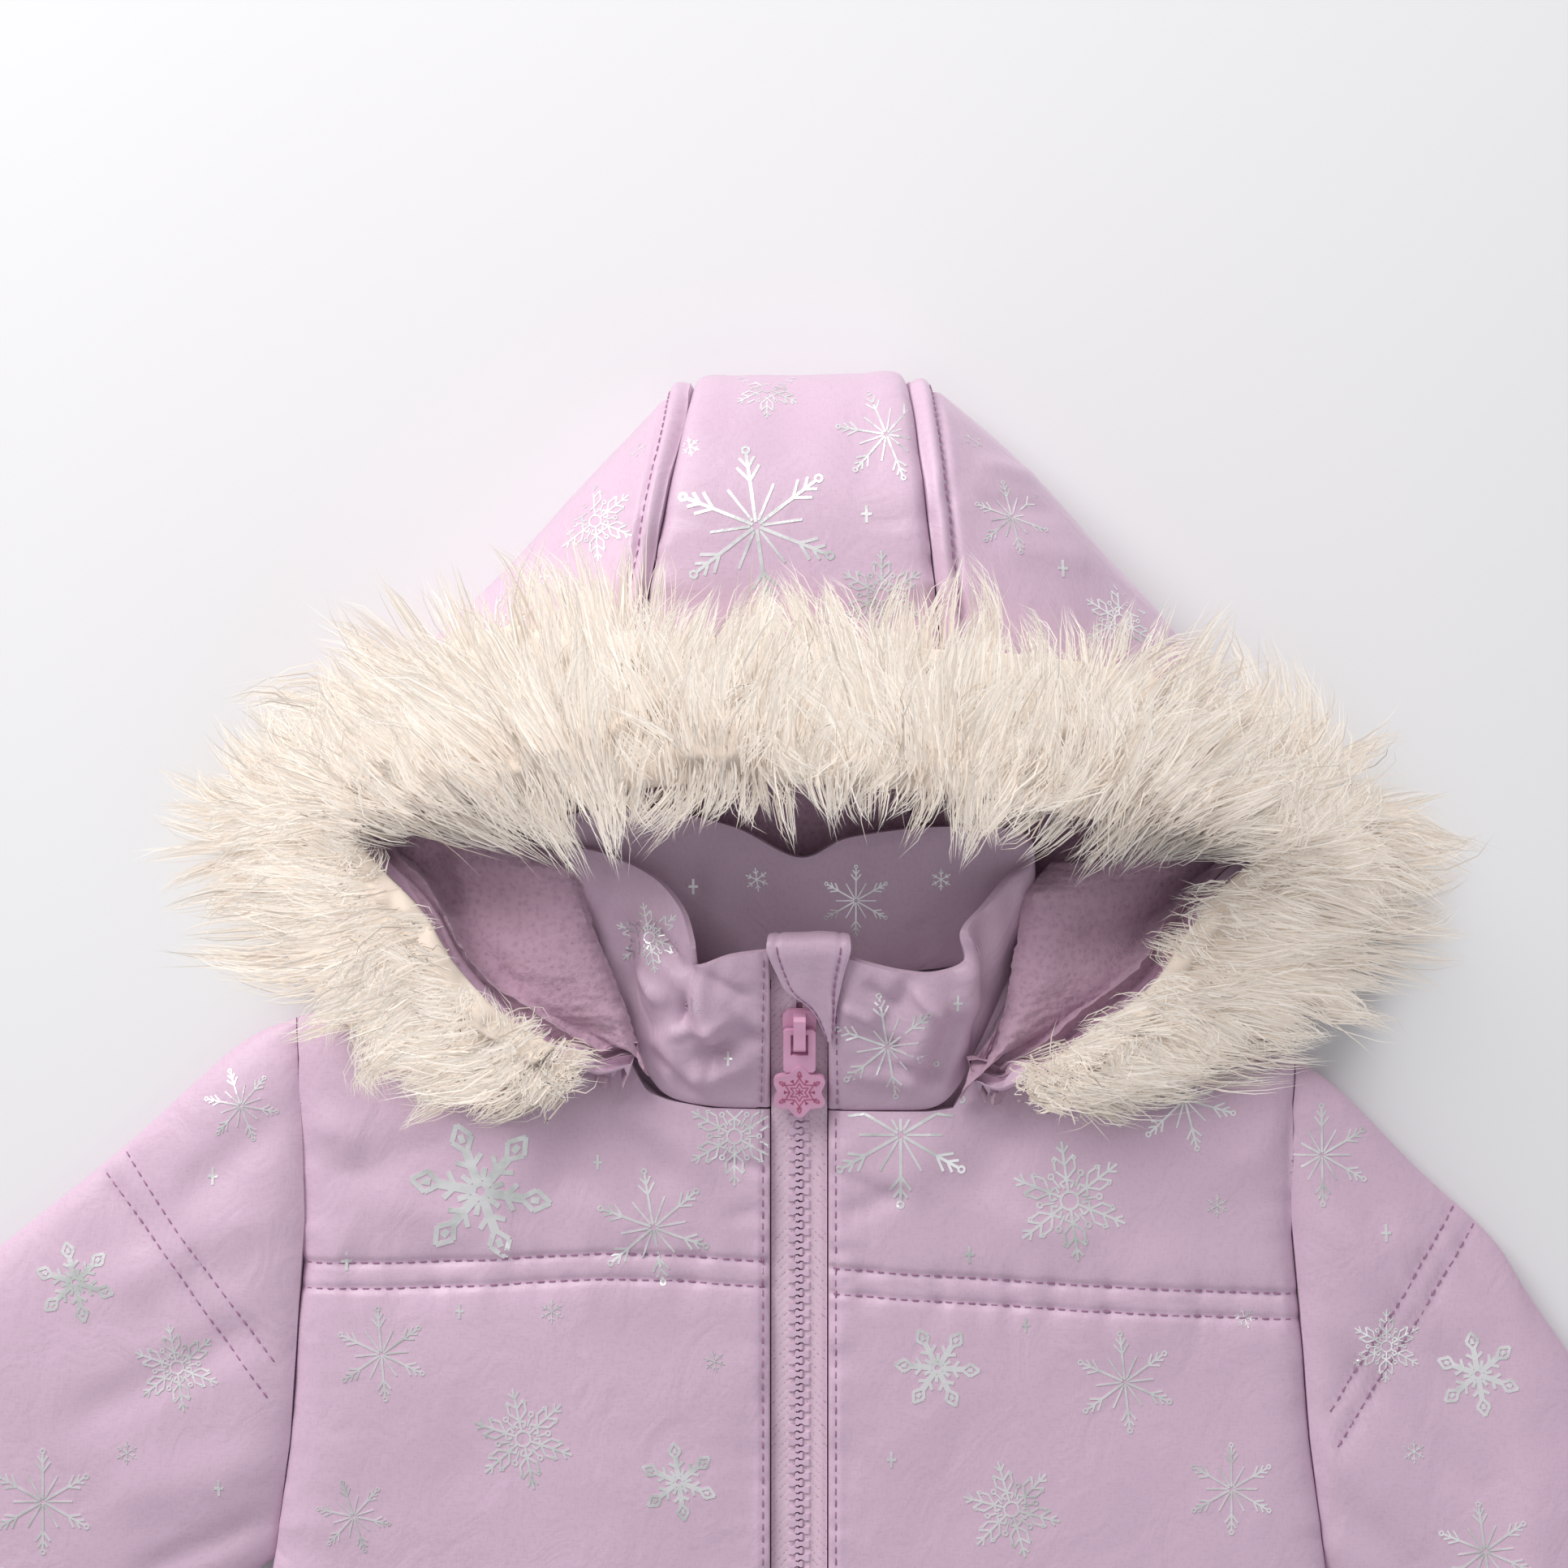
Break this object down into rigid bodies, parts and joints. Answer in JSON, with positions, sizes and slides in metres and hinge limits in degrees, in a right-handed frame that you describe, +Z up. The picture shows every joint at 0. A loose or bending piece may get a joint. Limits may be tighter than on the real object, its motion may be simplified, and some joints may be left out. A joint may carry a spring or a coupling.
{
  "type": "winter coat",
  "caption": "Child's padded winter coat laid flat, with front zip, stand collar, chin guard, fleece-lined hood and a fur-trimmed face edge; the zip's pull tab swings.",
  "frame": {"origin": "on the underside of the back, on the centre line, at mid chest height of the laid-out coat", "axes": "+Z up from the surface it lies on, +Y from hem to hood along the zip, +X towards the picture's right sleeve"},
  "size_m": [0.738, 0.6242, 0.09],
  "materials": {
    "shell": "lilac padded polyester with a soft satin sheen and a silver foil print",
    "fleece": "matt lilac fleece with a short curl",
    "fur": "cream long-pile faux fur",
    "tape": "woven zip tape, mauve",
    "zip_plastic": "moulded pink plastic with a soft gloss"
  },
  "bodies": {
    "root": {"back": "shell", "front_left": "shell", "front_right": "shell", "sleeve_left": "shell", "sleeve_right": "shell", "collar": "shell", "chin_guard": "shell", "hood_left": "shell", "hood_centre": "shell", "hood_right": "shell", "lining_left": "fleece", "lining_centre": "fleece", "lining_right": "fleece", "fur_left": "fur", "fur_top": "fur", "fur_right": "fur", "zip_tape_left": "tape", "zip_tape_right": "tape", "zip_slider": "zip_plastic", "zip_box": "zip_plastic"},
    "pull": {"pull_tab": "zip_plastic"}
  },
  "joints": [
    {"name": "pull_swing", "type": "hinge", "parent": "root", "child": "pull", "pos_m": [0, 0.14185, 0.0275], "axis": [-1, 0, 0], "range_deg": [0, 110]}
  ]
}
